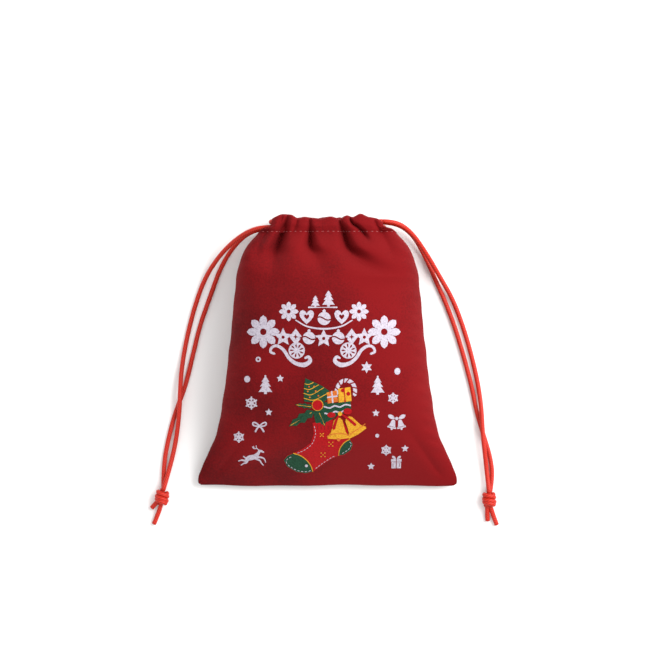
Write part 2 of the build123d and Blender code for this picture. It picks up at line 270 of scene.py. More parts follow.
# ---- knots --------------------------------------------------------------------------------------
# The two ends of each drawstring are tied together in one tight overhand knot, and the cut and
# melted ends stand out below it.
def knot_wraps(name, centre, axis, tails):
    """Both cords wound round themselves in a tight knot, with their tails: one joined mesh."""
    centre, axis = np.array(centre), np.array(axis) / np.linalg.norm(axis)
    across = np.cross(axis, (0.0, 0.0, 1.0))
    across /= np.linalg.norm(across)
    up = np.cross(across, axis)
    knot_length, wrap_turns, wrap_radius = 0.0066, 1.45, 0.00142
    wrap_reach, middle_swell, second_lead = 0.0027, 0.0004, 0.00036
    tubes = []
    turns = np.linspace(0, 1, 60)
    for start, lead in ((0.0, 0.0), (math.pi * 0.95, second_lead)):
        angle = start + turns * 2 * math.pi * wrap_turns
        swell = wrap_reach + middle_swell * np.sin(turns * math.pi)
        along = (turns - 0.5) * knot_length + lead
        loop = (
            centre
            + along[:, None] * axis
            + (swell * np.cos(angle))[:, None] * across
            + (swell * np.sin(angle))[:, None] * up
        )
        tubes.append(cord_tube(name, loop, wrap_radius))
    for tail in tails:
        tubes.append(cord_tube(name, smooth_line(tail)))
    bpy.ops.object.select_all(action="DESELECT")
    for tube in tubes:
        tube.select_set(True)
    bpy.context.view_layer.objects.active = tubes[0]
    bpy.ops.object.join()
    return tubes[0]


knots = {
    "left": knot_wraps(
        "left_knot_wraps",
        (-0.1021, -0.0915, 0.0044),
        (-0.12, -1.0, 0.0),
        (
            (
                (-0.1018, -0.0860, 0.0044), (-0.1022, -0.0930, 0.0044), (-0.1036, -0.0995, 0.0024),
                (-0.1072, -0.1080, 0.0015),
            ),
            (
                (-0.1014, -0.0870, 0.0040), (-0.1034, -0.0920, 0.0044), (-0.1062, -0.0955, 0.0026),
                (-0.1085, -0.0980, 0.0016),
            ),
        ),
    ),
    "right": knot_wraps(
        "right_knot_wraps",
        (0.0997, -0.0927, 0.0044),
        (0.08, -1.0, 0.0),
        (
            (
                (0.0994, -0.0870, 0.0044), (0.0999, -0.0940, 0.0044), (0.1014, -0.1005, 0.0024),
                (0.1045, -0.1085, 0.0015),
            ),
            (
                (0.0998, -0.0875, 0.0040), (0.0992, -0.0935, 0.0046), (0.0984, -0.0995, 0.0026),
                (0.0988, -0.1060, 0.0015),
            ),
        ),
    ),
}
for side, knot in knots.items():
    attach(knot, f"{side}_drawstring")
    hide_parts(f"{side}_knot")
for name, points in strands.items():
    side = name.split("_")[0]
    route = smooth_line(points)
    strand = cord_tube(f"{name}_braid", route)
    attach(strand, f"{side}_drawstring")
    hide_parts(name)


# ---- drawstrings, inside the casings ------------------------------------------------------------
# The taut middle of each drawstring: the same satin cord, in through the front casing, round a
# bight just inside the far notch and back through the back casing.
far_bight = 0.0345
bight_radius = 0.0045
for side, sign, lane in (("left", -1, lower_lane), ("right", 1, upper_lane)):
    quarter = np.linspace(0, math.pi / 2, 10)
    turn_x = far_bight - bight_radius
    straight = np.linspace(-notch, turn_x, 40, endpoint=False)
    front_run = [(x, front_lane) for x in straight]
    front_run += [
        (turn_x + bight_radius * math.sin(turn), front_lane - bight_radius * (1 - math.cos(turn)))
        for turn in quarter
    ]
    middle = (front_lane + back_lane) / 2
    back_run = [(x, 2 * middle - z) for x, z in front_run[::-1]]
    route = np.array([(-sign * x, lane, z) for x, z in front_run + back_run])
    run = cord_tube(f"{side}_cord_inner_braid", route)
    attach(run, f"{side}_drawstring")
    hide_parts(f"{side}_cord_in_casings")


# ---- panels and casings -------------------------------------------------------------------------
# Two panels of short-pile polyester velvet, cut 160 mm wide and sewn together along both sides and
# the bottom. Each one's top edge is folded down inside as the casing of the drawstrings. The sack
# is filled: its middle domes up, its corners stay flat, and its mouth is gathered on the cords.

# Short-pile velvet: matt, with a faint sheen on the tips of the pile. Its colour is painted darker
# towards the left side as painted shade, and the pile leans a little more or less in patches of
# some 40 mm. Its tips are under 0.5 mm apart, drawn as a speckle of about 1 mm so that it shows.
patches_per_metre, speckles_per_metre = 26.0, 900.0
velvet, tree, shader = new_material("short_pile_velvet")
place = add_node(tree, "ShaderNodeTexCoord")
patches = add_node(
    tree, "ShaderNodeTexNoise", None,
    {
        "Vector": place.outputs["Object"], "Scale": patches_per_metre, "Detail": 2.0,
        "Roughness": 0.45,
    },
)
speckle = add_node(
    tree, "ShaderNodeTexNoise", None,
    {
        "Vector": place.outputs["Object"], "Scale": speckles_per_metre, "Detail": 3.0,
        "Roughness": 0.7,
    },
)
across_sack = add_node(tree, "ShaderNodeSeparateXYZ", None, {"Vector": place.outputs["Object"]})
# Painted shade: the colour grows darker towards the left side, along X.
painted_left_shade = add_node(
    tree, "ShaderNodeMath", {"operation": "MULTIPLY_ADD"},
    {0: across_sack.outputs["X"], 1: 3.2, 2: -0.02},
)
nap_patches_and_painted_shade = add_node(
    tree, "ShaderNodeMath", {"operation": "ADD"},
    {0: painted_left_shade.outputs[0], 1: patches.outputs["Fac"]},
)
# Pile speckle on top of the lean in patches, with the painted shade towards the left carried along.
lean = add_node(
    tree, "ShaderNodeMath", {"operation": "MULTIPLY_ADD"},
    {0: speckle.outputs["Fac"], 1: 0.9, 2: nap_patches_and_painted_shade.outputs[0]},
)
reds = add_node(tree, "ShaderNodeValToRGB", None, {"Fac": lean.outputs[0]})
reds.color_ramp.elements[0].position = 0.55
reds.color_ramp.elements[0].color = linear("#4E0307")
reds.color_ramp.elements[1].position = 1.0
reds.color_ramp.elements[1].color = linear("#72070C")
pile = add_node(
    tree, "ShaderNodeBump", None,
    {"Height": speckle.outputs["Fac"], "Strength": 0.25, "Distance": 0.0003},
)
tree.links.new(reds.outputs[0], shader.inputs["Base Color"])
tree.links.new(pile.outputs[0], shader.inputs["Normal"])
shader.inputs["Roughness"].default_value = 0.9
shader.inputs["Specular IOR Level"].default_value = 0.15
shader.inputs["Sheen Weight"].default_value = 0.14
shader.inputs["Sheen Roughness"].default_value = 0.5
shader.inputs["Sheen Tint"].default_value = linear("#D84044")


def smooth_through(at, places, values):
    """Values on a smooth curve without overshoot through the given places and values."""
    places, values = np.array(places, float), np.array(values, float)
    gaps = np.diff(places)
    slopes = np.diff(values) / gaps
    tangent = np.zeros(len(places))
    tangent[0], tangent[-1] = slopes[0], slopes[-1]
    for number in range(1, len(places) - 1):
        if slopes[number - 1] * slopes[number] > 0:
            tangent[number] = 2 / (1 / slopes[number - 1] + 1 / slopes[number])
    at = np.clip(at, places[0], places[-1])
    cell = np.clip(np.searchsorted(places, at) - 1, 0, len(places) - 2)
    share = (at - places[cell]) / gaps[cell]
    square, cube = share**2, share**3
    return (
        (2 * cube - 3 * square + 1) * values[cell]
        + (cube - 2 * square + share) * gaps[cell] * tangent[cell]
        + (3 * square - 2 * cube) * values[cell + 1]
        + (cube - square) * gaps[cell] * tangent[cell + 1]
    )


def ease(at, start, end):
    """Rises smoothly from 0 at start to 1 at end."""
    share = np.clip((at - start) / (end - start), 0, 1)
    return share * share * (3 - 2 * share)


# Millimetres from here on, counted along the sack from its bottom seam.
top_edge = 168.0
casing_foot = 155.6
cloth = 1.1
floor_gap = 0.15
neck_start, neck_end = 112, 142  # the neck draws in between these
front_neck_swell, back_neck_swell = 2.2, 1.2
front_lip, back_lip = 33.0, 7.0  # the casings' edges at the side notches
front_casing_foot, back_casing_top = 32.8, 7.2  # the gathers stop here, clear of the cords
deepest_gather = 17
front_hem, back_hem = 27.4, 12.6  # the hems' height inside the mouth
fold_reach = 1.6  # how far the fold stands past the last row of the panel
hem_half_length = 22.5  # the hem is set back from the side notches, clear of the cords' bights
edge_roll = 3  # rows of the fold that go on past the hem's ends
outline_along = (
    0, 0.5, 1.5, 3, 12, 23, 30, 45, 60, 75, 97, 112, 127, 138, 145, 149, 152.6, 156.4, 160, 164,
    168,
)
outline_half = (
    77.8, 79.0, 79.7, 79.8, 77, 71.9, 68.8, 65.3, 62.9, 61.0, 58.6, 57.2, 55.8, 53.2, 50.3, 47.8,
    44.6, 40.8, 37.4, 35.0, 34.0,
)
seam_along = (0, 12, 30, 60, 97, 127, 145, 158, 168)
seam_height = (5, 9, 16, 23, 27, 26, 23, 20, 20)
crown_height = (6.6, 20, 39, 56, 62, 56, 46, 37.0, 36.5)
belly_along = (0, 8, 16, 28, 125, 140, 150, 158, 168)
belly_height = (3.4, 2.6, 1.0, -1.5, -1.5, 1.5, 3.5, 4.5, 4.5)

# Gathers: each is a valley in the cloth, with its places across and along, its depth at each place
# and its half width. They start at the mouth and fade out down the sack.
front_valleys = (
    (
        ((-24.5, 168), (-26.0, 160), (-30.0, 148), (-32.5, 138), (-34, 120)),
        (4.0, 7.5, 15.0, 6.0, 0.0), (1.5, 2.2, 3.6, 7.5, 12.0),
    ),
    (((-27.5, 168), (-28.6, 162), (-29.0, 156)), (2.5, 2.0, 0.0), (1.0, 1.4, 1.6)),
    (((-18.6, 168), (-19.6, 160), (-22.0, 152)), (1.6, 2.6, 0.0), (1.0, 1.8, 2.6)),
    (
        ((-10.8, 168), (-10.6, 158), (-10.6, 148.5), (-7, 140), (0, 124)),
        (3.0, 4.6, 12.0, 4.6, 0.0), (1.0, 1.6, 2.7, 6.5, 11.0),
    ),
    (
        ((7.4, 168), (9.0, 159), (12.4, 147), (19.5, 139.5), (36, 128)), (4.0, 7.0, 13.0, 8.0, 0.0),
        (1.1, 1.9, 3.3, 7.0, 12.0),
    ),
    (
        ((13.6, 168), (17.0, 161), (22.0, 154.5), (25, 149)), (4.0, 6.0, 5.0, 0.0),
        (1.0, 1.4, 1.6, 2.2),
    ),
    (((28.5, 168), (31, 159), (36, 149), (41, 136)), (1.6, 2.6, 2.6, 0.0), (1.4, 2.4, 4.0, 7.0)),
    (
        ((-33.0, 168), (-36, 158), (-41.5, 147), (-45, 132)), (1.4, 2.5, 3.0, 0.0),
        (1.4, 2.2, 3.6, 8.0),
    ),
    (((-44, 44), (-54, 26), (-65, 11), (-70, 4)), (0.0, 1.3, 1.1, 0.0), (7.0, 4.5, 3.0, 2.5)),
    (((46, 40), (57, 24), (66, 11), (71, 4)), (0.0, 1.4, 1.2, 0.0), (7.0, 4.5, 3.0, 2.5)),
)
back_valleys = (
    (((-23, 168), (-25, 158), (-30, 145), (-34, 126)), (2.5, 3.5, 4.0, 0.0), (1.4, 2.0, 4.0, 7.0)),
    (((-12, 168), (-13, 158), (-14, 146), (-16, 126)), (2.5, 3.5, 4.0, 0.0), (1.2, 1.8, 4.0, 7.0)),
    (((1, 168), (0, 158), (1, 146), (2, 124)), (2.5, 3.5, 4.0, 0.0), (1.2, 1.8, 4.0, 7.0)),
    (((13, 168), (14, 158), (18, 146), (22, 126)), (2.5, 3.5, 4.0, 0.0), (1.2, 1.8, 4.0, 7.0)),
    (((25, 168), (27, 158), (32, 146), (37, 126)), (2.5, 3.5, 4.0, 0.0), (1.4, 2.0, 4.0, 7.0)),
)
top_across = (
    -36.5, -32, -27, -22, -17.8, -14.3, -8, -3.9, 0, 2.2, 5, 7.8, 10, 12.1, 15.2, 20, 24.7, 29.9,
    33.8,
)
front_top = (
    161.5, 164.6, 166.4, 166.0, 163.9, 164.7, 164.0, 163.6, 164.7, 164.9, 164.2, 163.6, 165.0,
    165.6, 164.6, 166.6, 164.8, 163.8, 161.5,
)
back_top = (
    161, 164.0, 165, 164.0, 165.0, 165.2, 164.0, 165.0, 165.4, 164.4, 164.8, 165.2, 164.4, 164.0,
    165.2, 165.4, 164.4, 163.5, 161,
)


def valley_depth(across, along, valleys):
    """How far the gathers press the cloth in at each place."""
    depth = np.zeros_like(across)
    for places, depths, widths in valleys:
        line_along = [point[1] for point in places][::-1]
        centre = smooth_through(along, line_along, [point[0] for point in places][::-1])
        deep = smooth_through(along, line_along, depths[::-1])
        wide = smooth_through(along, line_along, widths[::-1])
        press = deep * np.exp(-(np.abs((across - centre) / wide) ** 1.5))
        depth += np.where(along >= line_along[0], press, 0)
    return depth


def soft_creases(across, along, seed):
    """Slight unevenness of loosely filled cloth: long waves."""
    lean = math.sin(seed)
    waves = 0.45 * np.sin(across / 13 + 0.6 * np.sin(along / 23 + seed) + seed)
    waves += 0.35 * np.sin(along / 17 + across / 29 * lean + 2.1 * seed)
    waves += 0.22 * np.sin(across / 6.1 - along / 9.7 + 1.3 * seed) * np.sin(along / 21 + seed)
    return waves * ease(along, 6, 40) * (1 - ease(along, 140, 156))


def panel_surface(share_across, along, front):
    """Outside of one panel, in millimetres from the bottom seam, at shares of its width."""
    flatter = ease(along, 120, 156)
    even = 0.12 + 0.6 * flatter
    spread = (1 - even) * -np.cos(math.pi * share_across) + even * (2 * share_across - 1)
    half = smooth_through(along, outline_along, outline_half)
    half = half + 0.25 * np.sin(along / 3.1) * np.sin(along / 11.0) * ease(along, 10, 30)
    across = spread * half
    seam = smooth_through(along, seam_along, seam_height)
    seam = seam + 0.35 * np.sin(along / 2.3 + np.sign(spread)) * ease(along, 8, 25)
    power = 2.1 + 2.6 * flatter
    arch = np.clip(1 - np.abs(spread) ** power, 0, 1) ** (1 / power)
    notched = ease(along, 153.0, 158.0)
    puff = np.sin(math.pi * np.clip((along - casing_foot) / (top_edge - casing_foot), 0, 1))
    rim = 1 - np.abs(spread)
    pucker = 0.5 * np.sin(along / 1.35 + 3 * spread) * np.exp(-(((rim - 0.06) / 0.05) ** 2))
    if front:
        crown = smooth_through(along, seam_along, crown_height)
        edge = seam + (front_lip - seam) * notched
        height = edge + (crown - edge) * arch
        height = height + soft_creases(across, along, 1.0) * arch + pucker * ease(along, 10, 30)
        height = height + ease(along, neck_start, neck_end) * front_neck_swell
        dip = valley_depth(across, along, front_valleys)
        height = height - np.minimum(dip, deepest_gather)
        stitched = np.exp(-(((along - casing_foot) / 0.8) ** 2))
        height = height + 1.2 * puff - 0.6 * stitched
        height = np.where(along > casing_foot - 1, np.maximum(height, front_casing_foot), height)
    else:
        belly = smooth_through(along, belly_along, belly_height)
        edge = seam + (back_lip - seam) * notched
        height = edge + (belly - edge) * arch
        height = height - soft_creases(across, along, 2.0) * arch - pucker * ease(along, 10, 30)
        dip = valley_depth(across, along, back_valleys)
        stitched = np.exp(-(((along - casing_foot) / 0.8) ** 2))
        height = height - ease(along, neck_start, neck_end) * back_neck_swell
        height = height + dip - 0.8 * puff + 1.0 * stitched
        height = np.where(along > casing_foot - 1, np.minimum(height, back_casing_top), height)
        height = floor_gap + np.log1p(np.exp((height - floor_gap) * 2.5)) / 2.5
    return across, height


def build_panel(name, front):
    """One panel's outside as a grid: up the sack, over the top fold and down the hem inside."""
    columns = 221
    body_rows, casing_rows = 150, 30
    shares = np.linspace(0, 1, columns)
    places = np.concatenate([
        np.linspace(0, casing_foot - 2, body_rows, endpoint=False),
        np.linspace(casing_foot - 2, top_edge, casing_rows),
    ])
    top_line = front_top if front else back_top
    grid = []
    for along in places:
        across, height = panel_surface(shares, np.full(columns, along), front)
        top = smooth_through(across, top_across, top_line) - fold_reach
        lowered = along + (top - top_edge) * ease(along, casing_foot, top_edge)
        seam_wave = 0.3 * np.sin(across / 15 + 0.7) + 0.2 * np.sin(across / 6.3)
        lowered = lowered + seam_wave * (1 - ease(along, 0, 9))
        grid.append(np.stack([across, lowered, height], axis=1))
    last = grid[-1]
    toward = -1.0 if front else 1.0
    casing_middle = np.full(columns, 160.0)
    wave = valley_depth(last[:, 0], casing_middle, front_valleys if front else back_valleys)
    hem_height = front_hem - 0.45 * np.minimum(wave, 5) if front else back_hem + 0.5 * wave
    half_drop = np.abs(last[:, 2] - hem_height) / 2
    for turn in np.linspace(0, math.pi, 10)[1:]:
        fold = last.copy()
        fold[:, 1] += np.sin(turn) * np.minimum(half_drop, fold_reach)
        fold[:, 2] += toward * half_drop * (1 - math.cos(turn))
        grid.append(fold)
    folded = grid[-1]
    for share in np.linspace(0, 1, 10)[1:]:
        hem = folded.copy()
        hem[:, 1] = folded[:, 1] + (casing_foot - 0.6 - folded[:, 1]) * share
        hem[:, 2] += toward * 0.8 * math.sin(math.pi * share)
        grid.append(hem)
    points = np.concatenate(grid)
    points[:, 1] -= top_edge / 2
    faces = []
    in_hem = np.abs(last[:, 0]) < hem_half_length
    for row in range(len(grid) - 1):
        for column in range(columns - 1):
            if row >= len(places) + edge_roll and not (in_hem[column] and in_hem[column + 1]):
                continue
            corner = row * columns + column
            face = (corner, corner + 1, corner + columns + 1, corner + columns)
            faces.append(face if front else face[::-1])
    used = np.unique(np.array(faces))
    faces = np.searchsorted(used, np.array(faces))
    mesh = bpy.data.meshes.new(name)
    mesh.from_pydata((points[used] / 1000).tolist(), [], faces.tolist())
    mesh.polygons.foreach_set("use_smooth", [True] * len(mesh.polygons))
    mesh.materials.append(velvet)
    piece = bpy.data.objects.new(name, mesh)
    bpy.context.scene.collection.objects.link(piece)
    wall = piece.modifiers.new("velvet_thickness", "SOLIDIFY")
    wall.thickness = cloth / 1000
    wall.offset = -1.0
    wall.use_rim = True
    return piece


front_panel = build_panel("front_velvet_panel", True)
back_panel = build_panel("back_velvet_panel", False)
for piece, nodes in (
    (front_panel, ("front_panel", "front_casing")),
    (back_panel, ("back_panel", "back_casing")),
):
    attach(piece, "sack")
    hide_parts(*nodes)


# ---- seams inside -------------------------------------------------------------------------------
# Along both sides and the bottom, 6 mm of both panels is turned in and overlocked with polyester
# thread. It lies between the panels, inside the sack, and shows only through the mouth.
def seam_band(name, rows, material, node):
    """Closed band from rows of points: outer low, outer high, inner high, inner low."""
    points = np.array(rows, float).reshape(-1, 3)
    points[:, 1] -= top_edge / 2
    faces = []
    for row in range(len(rows) - 1):
        for corner in range(4):
            after = (corner + 1) % 4
            low, high = 4 * row, 4 * row + 4
            faces.append((low + corner, low + after, high + after, high + corner))
    end = 4 * (len(rows) - 1)
    faces += [(3, 2, 1, 0), (end, end + 1, end + 2, end + 3)]
    mesh = bpy.data.meshes.new(name)
    mesh.from_pydata((points / 1000).tolist(), [], faces)
    mesh.materials.append(material)
    shape = bmesh.new()
    shape.from_mesh(mesh)
    bmesh.ops.recalc_face_normals(shape, faces=shape.faces)
    shape.to_mesh(mesh)
    shape.free()
    band = bpy.data.objects.new(name, mesh)
    bpy.context.scene.collection.objects.link(band)
    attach(band, "sack")
    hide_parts(node)


# Spun polyester sewing thread, a paler red than the cloth, with a slight shine. Its plies show as a
# mottle 0.5 mm apart.
thread, tree, shader = new_material("spun_polyester_thread")
place = add_node(tree, "ShaderNodeTexCoord")
plies = add_node(
    tree, "ShaderNodeTexNoise", None,
    {"Vector": place.outputs["Object"], "Scale": 2000.0, "Detail": 1.0, "Roughness": 0.5},
)
tints = add_node(tree, "ShaderNodeValToRGB", None, {"Fac": plies.outputs["Fac"]})
tints.color_ramp.elements[0].position = 0.4
tints.color_ramp.elements[0].color = linear("#6E181C")
tints.color_ramp.elements[1].position = 0.62
tints.color_ramp.elements[1].color = linear("#A8484A")
tree.links.new(tints.outputs[0], shader.inputs["Base Color"])
shader.inputs["Roughness"].default_value = 0.55
shader.inputs["Sheen Weight"].default_value = 0.3

turned_in = 6.0
overlock_width = 3.0
side_seam_foot, side_seam_end = 12.0, 136.0
bottom_seam_half = 70
bottom_outer_level, bottom_inner_level = 5.2, 6.0
for side, sign in (("left", -1), ("right", 1)):
    for part, outer, inner, thick, material, slot_name in (
        ("allowance", 1.3, turned_in, 0.9, velvet, "velvet"),
        ("overlock", turned_in - overlock_width, turned_in + 0.3, 1.2, thread, "thread"),
    ):
        rows = []
        for along in np.linspace(side_seam_foot, side_seam_end, 66):
            half = float(smooth_through(along, outline_along, outline_half))
            level = float(smooth_through(along, seam_along, seam_height))
            rows.append([
                (sign * (half - outer), along, level - thick),
                (sign * (half - outer), along, level + thick),
                (sign * (half - inner), along, level + thick),
                (sign * (half - inner), along, level - thick),
            ])
        seam_band(f"{side}_seam_{part}_turned", rows, material, f"{side}_seam_{part}")
for part, outer, inner, thick, material, slot_name in (
    ("allowance", 1.8, turned_in + 1.2, 0.5, velvet, "velvet"),
    ("overlock", turned_in - 1.5, turned_in + 1.5, 0.8, thread, "thread"),
):
    rows = []
    for across in np.linspace(-bottom_seam_half, bottom_seam_half, 40):
        rows.append([
            (across, outer, bottom_outer_level - thick),
            (across, outer, bottom_outer_level + thick),
            (across, inner, bottom_inner_level + thick),
            (across, inner, bottom_inner_level - thick),
        ])
    seam_band(f"bottom_seam_{part}_turned", rows, material, f"bottom_seam_{part}")


# ---- casing stitches ----------------------------------------------------------------------------
# One lockstitch row, about eight stitches to 25 mm, holds each casing's lower edge. The red thread
# sinks into the pile, so only short lengths of it show along the gathers.
def stitch_tree():
    """Nodes that lay short rounded stitches along a line, each one turned along it."""
    group = bpy.data.node_groups.new("lockstitch_row", "GeometryNodeTree")
    side = group.interface
    side.new_socket("Line", in_out="INPUT", socket_type="NodeSocketGeometry")
    for label in ("Pitch", "Stitch Length", "Thread Width"):
        side.new_socket(label, in_out="INPUT", socket_type="NodeSocketFloat")
    side.new_socket("Material", in_out="INPUT", socket_type="NodeSocketMaterial")
    side.new_socket("Stitches", in_out="OUTPUT", socket_type="NodeSocketGeometry")
    start = add_node(group, "NodeGroupInput")
    line = add_node(group, "GeometryNodeMeshToCurve", None, {"Mesh": start.outputs["Line"]})
    spaced = add_node(
        group, "GeometryNodeResampleCurve", {"mode": "LENGTH"},
        {"Curve": line.outputs[0], "Length": start.outputs["Pitch"]},
    )
    tangent = add_node(group, "GeometryNodeInputTangent")
    turned = add_node(
        group, "FunctionNodeAlignRotationToVector", {"axis": "X"}, {"Vector": tangent.outputs[0]}
    )
    ball = add_node(group, "GeometryNodeMeshIcoSphere", None, {"Radius": 0.5, "Subdivisions": 2})
    size = add_node(
        group, "ShaderNodeCombineXYZ", None,
        {
            "X": start.outputs["Stitch Length"], "Y": start.outputs["Thread Width"],
            "Z": start.outputs["Thread Width"],
        },
    )
    stitches = add_node(
        group, "GeometryNodeInstanceOnPoints", None,
        {
            "Points": spaced.outputs[0], "Instance": ball.outputs["Mesh"],
            "Rotation": turned.outputs[0], "Scale": size.outputs[0],
        },
    )
    real = add_node(group, "GeometryNodeRealizeInstances", None, {"Geometry": stitches.outputs[0]})
    coloured = add_node(
        group, "GeometryNodeSetMaterial", None,
        {"Geometry": real.outputs[0], "Material": start.outputs["Material"]},
    )
    add_node(group, "NodeGroupOutput", None, {"Stitches": coloured.outputs[0]})
    return group


row_of_stitches = stitch_tree()
stitch_pitch, stitch_length, thread_width = 0.0032, 0.0016, 0.00045
for side, front, out_of_pile in (("front", True, 0.1), ("back", False, -0.05)):
    shares = np.linspace(0.04, 0.96, 160)
    across, height = panel_surface(shares, np.full(len(shares), casing_foot), front)
    foot_line = np.full(len(shares), casing_foot - top_edge / 2)
    line_points = np.stack([across, foot_line, height + out_of_pile], axis=1)
    joined = [(n, n + 1) for n in range(len(shares) - 1)]
    line_mesh = bpy.data.meshes.new("stitch_line")
    line_mesh.from_pydata((line_points / 1000).tolist(), joined, [])
    row = bpy.data.objects.new(f"{side}_casing_stitch_row", line_mesh)
    bpy.context.scene.collection.objects.link(row)
    laid = row.modifiers.new("stitches", "NODES")
    laid.node_group = row_of_stitches
    sockets = {item.name: item.identifier for item in row_of_stitches.interface.items_tree}
    laid[sockets["Pitch"]] = stitch_pitch
    laid[sockets["Stitch Length"]] = stitch_length
    laid[sockets["Thread Width"]] = thread_width
    laid[sockets["Material"]] = thread
    bpy.context.view_layer.update()
    laid_row = row.evaluated_get(bpy.context.evaluated_depsgraph_get())
    finished = bpy.data.meshes.new_from_object(laid_row)
    row.modifiers.clear()
    row.data = finished
    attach(row, "sack")
    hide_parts(f"{side}_casing_stitches")


# ---- prints, white ------------------------------------------------------------------------------
# Flock-like transfer film, about 0.2 mm thick, pressed on the front panel with heat: two rows of
# ornaments as a heading, with trees above and curled runners below, and small winter motifs.
def ring(x, y, radius, count=22, tall=1.0):
    """Outline of a round or an oval."""
    turns = np.linspace(0, 2 * math.pi, count, endpoint=False)
    return [(x + radius * math.cos(turn), y + tall * radius * math.sin(turn)) for turn in turns]


def burst(x, y, outer, inner, points, turn=90.0):
    """Outline of a star."""
    corners = []
    for number in range(2 * points):
        reach = outer if number % 2 == 0 else inner
        angle = math.radians(turn + 180 * number / points)
        corners.append((x + reach * math.cos(angle), y + reach * math.sin(angle)))
    return corners


def bend(points, steps=6):
    """Smooth line through the given points."""
    points = [np.array(point, float) for point in points]
    ends = [2 * points[0] - points[1], *points, 2 * points[-1] - points[-2]]
    line = []
    for a, b, c, d in zip(ends, ends[1:], ends[2:], ends[3:]):
        square, cube = 2 * a - 5 * b + 4 * c - d, 3 * b - a - 3 * c + d
        for share in np.linspace(0, 1, steps, endpoint=False):
            line.append(0.5 * (2 * b + (c - a) * share + square * share**2 + cube * share**3))
    return np.array([*line, points[-1]])


def ribbon(path, widths):
    """Outline of a line that has the given width or widths along it, with blunt rounded ends."""
    path = np.array(path, float)
    given = np.atleast_1d(np.array(widths, float))
    half = np.interp(np.linspace(0, 1, len(path)), np.linspace(0, 1, len(given)), given) / 2
    steps = np.gradient(path, axis=0)
    steps /= np.linalg.norm(steps, axis=1)[:, None]
    side = np.stack([-steps[:, 1], steps[:, 0]], axis=1) * half[:, None]
    first, last = path[0] - steps[0] * half[0] * 0.8, path[-1] + steps[-1] * half[-1] * 0.8
    outline = [*(path + side), last, *(path - side)[::-1], first]
    return [tuple(point) for point in outline]


def both_sides(x, y, size, profile, turn=0.0):
    """Outline from a right-hand profile, top to bottom, mirrored, scaled, turned and placed."""
    shape = [*profile, *[(-px, py) for px, py in profile[::-1]]]
    cos, sin = math.cos(math.radians(turn)), math.sin(math.radians(turn))
    return [
        (x + size * (px * cos - py * sin), y + size * (px * sin + py * cos))
        for px, py in shape
    ]


front_panel_shape = BVHTree.FromObject(front_panel, bpy.context.evaluated_depsgraph_get())
above_panel = 0.09


def on_panel(x, y, lift):
    """Point above the front panel at a place in millimetres, lifted out of the cloth."""
    start = Vector((x / 1000, y / 1000, above_panel))
    hit, normal, _, _ = front_panel_shape.ray_cast(start, Vector((0, 0, -1)))
    if normal.z < 0:
        normal = -normal
    return hit + normal * (lift / 1000)


def inside_of(outline, places):
    """Which places lie inside a closed outline."""
    found = np.zeros(len(places), bool)
    outline = np.array(outline)
    ahead = np.roll(outline, -1, axis=0)
    for (ax, ay), (bx, by) in zip(outline, ahead):
        if ay == by:
            continue
        crosses = (ay > places[:, 1]) != (by > places[:, 1])
        reach = (bx - ax) * (places[:, 1] - ay) / (by - ay) + ax
        found ^= crosses & (places[:, 0] < reach)
    return found


inner_columns, inner_rows, inner_inset = 1.5, 1.3, 0.35  # points inside, so that the film bends
film_underside = -0.05


def print_film(name, node, layers):
    """Closed films laid on the front panel: for each its material, outlines, cut-outs and lift."""
    points, faces, slots, materials = [], [], [], []
    for material, solids, cuts, lift in layers:
        if material not in materials:
            materials.append(material)
        corners, edges = [], []
        for outline in (*solids, *cuts):
            first = len(corners)
            corners += [Vector(place) for place in outline]
            edges += [(first + n, first + (n + 1) % len(outline)) for n in range(len(outline))]
        low, high = np.min(corners, axis=0), np.max(corners, axis=0)
        spots = np.array([
            (x, y)
            for row, y in enumerate(np.arange(low[1] + inner_inset, high[1], inner_rows))
            for x in np.arange(low[0] + inner_inset + 0.65 * (row % 2), high[0], inner_columns)
        ]).reshape(-1, 2)
        if len(spots):
            wanted = np.zeros(len(spots), bool)
            for outline in solids:
                wanted |= inside_of(outline, spots)
            corners += [Vector(spot) for spot in spots[wanted]]
        flat, _, triangles, _, _, _ = delaunay_2d_cdt(corners, edges, [], 0, 1e-4)
        flat = np.array(flat)
        centres = np.array([flat[list(triangle)].mean(axis=0) for triangle in triangles])
        kept = np.zeros(len(triangles), bool)
        for outline in solids:
            kept |= inside_of(outline, centres)
        for outline in cuts:
            kept &= ~inside_of(outline, centres)
        triangles = [triangle for triangle, keep in zip(triangles, kept) if keep]
        used = sorted({corner for triangle in triangles for corner in triangle})
        number = {corner: place for place, corner in enumerate(used)}
        first, count = len(points), len(used)
        points += [on_panel(*flat[corner], lift) for corner in used]
        points += [on_panel(*flat[corner], film_underside) for corner in used]
        seen = {}  # keeps the order of the edges, so that each run gives the same mesh
        for triangle in triangles:
            a, b, c = (first + number[corner] for corner in triangle)
            faces.append((a, b, c))
            faces.append((c + count, b + count, a + count))
            for pair in ((a, b), (b, c), (c, a)):
                seen[pair] = True
        rim = [pair for pair in seen if (pair[1], pair[0]) not in seen]
        faces += [(b, a, a + count, b + count) for a, b in rim]
        slots += [materials.index(material)] * (2 * len(triangles) + len(rim))
    mesh = bpy.data.meshes.new(name)
    mesh.from_pydata(points, [], faces)
    for material in materials:
        mesh.materials.append(material)
    mesh.polygons.foreach_set("material_index", slots)
    piece = bpy.data.objects.new(name, mesh)
    bpy.context.scene.collection.objects.link(piece)
    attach(piece, "sack")
    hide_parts(node)


mottles_per_metre = 1100.0


